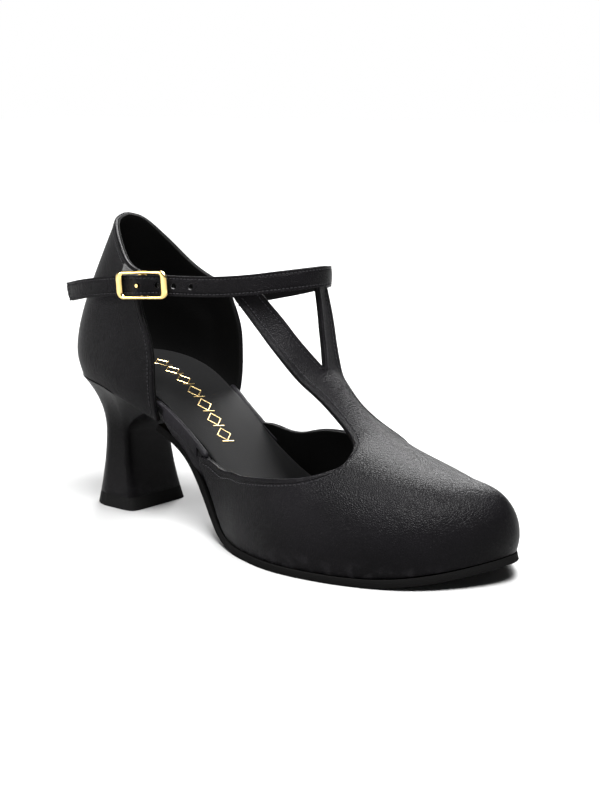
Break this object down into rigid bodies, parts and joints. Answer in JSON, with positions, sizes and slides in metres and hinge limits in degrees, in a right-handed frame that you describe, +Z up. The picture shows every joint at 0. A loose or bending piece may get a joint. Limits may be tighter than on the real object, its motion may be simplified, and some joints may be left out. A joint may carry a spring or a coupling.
{
  "type": "tap shoe",
  "caption": "Right character tap shoe with a closed round toe, split T-strap, buckled ankle strap that swings open, peaked heel cup and flared covered heel.",
  "frame": {"origin": "middle of the heel's ground face", "axes": "+X towards the toe, +Y towards the inner (medial) side of the foot, +Z up; the heel and the ball of the sole rest on Z = 0"},
  "size_m": [0.2205, 0.0812, 0.1291],
  "materials": {
    "upper_leather": "soft grained leather with a low sheen",
    "lining_leather": "smooth matt lining leather",
    "stiffener": "stiff leatherboard",
    "insole_board": "pressed fibre board",
    "steel": "plain steel",
    "rivet_brass": "tubular brass rivets",
    "foam": "soft latex foam",
    "sock_leather": "matt black sock lining",
    "edge_leather": "thin wrapping leather",
    "filler": "cork and fibre filler",
    "sole_leather": "dyed black suede outsole",
    "heel_plastic": "moulded heel block",
    "heel_leather": "leather drawn over the heel",
    "top_piece_rubber": "hard rubber top piece",
    "strap_leather": "grained strap leather",
    "buckle_gold": "polished gold-coloured buckle",
    "elastic": "woven black elastic"
  },
  "bodies": {
    "shoe": {"vamp_outer": "upper_leather", "quarter_outer_side": "upper_leather", "quarter_inner_side": "upper_leather", "vamp_lining": "lining_leather", "t_strap_lining": "lining_leather", "quarter_lining": "lining_leather", "toe_puff": "stiffener", "heel_counter": "stiffener", "insole_board": "insole_board", "steel_shank": "steel", "shank_rivets": "rivet_brass", "sock_foam": "foam", "sock_lining": "sock_leather", "insole_wrap": "edge_leather", "waist_filler": "filler", "forepart_filler": "filler", "waist_cover": "edge_leather", "outsole": "sole_leather", "heel_block": "heel_plastic", "heel_cover": "heel_leather", "heel_top_piece": "top_piece_rubber", "top_piece_pins": "steel", "heel_screw": "steel", "heel_nails": "steel", "ankle_strap": "strap_leather", "ankle_strap_lining": "lining_leather", "elastic_loop": "elastic"},
    "free_strap": {"free_strap": "strap_leather", "free_strap_lining": "lining_leather", "buckle_frame": "buckle_gold", "buckle_centre_bar": "buckle_gold", "buckle_hook": "buckle_gold"},
    "strap_tip": {"strap_tip": "strap_leather", "strap_tip_lining": "lining_leather"}
  },
  "joints": [
    {"name": "strap_swing", "type": "hinge", "parent": "shoe", "child": "free_strap", "pos_m": [0.07113, -0.02404, 0.10402], "axis": [0, 0, 1], "range_deg": [0, 75]},
    {"name": "strap_tip_lift", "type": "hinge", "parent": "free_strap", "child": "strap_tip", "pos_m": [0.02329, -0.03332, 0.1015], "axis": [0, 0, 1], "range_deg": [0, 35]}
  ]
}
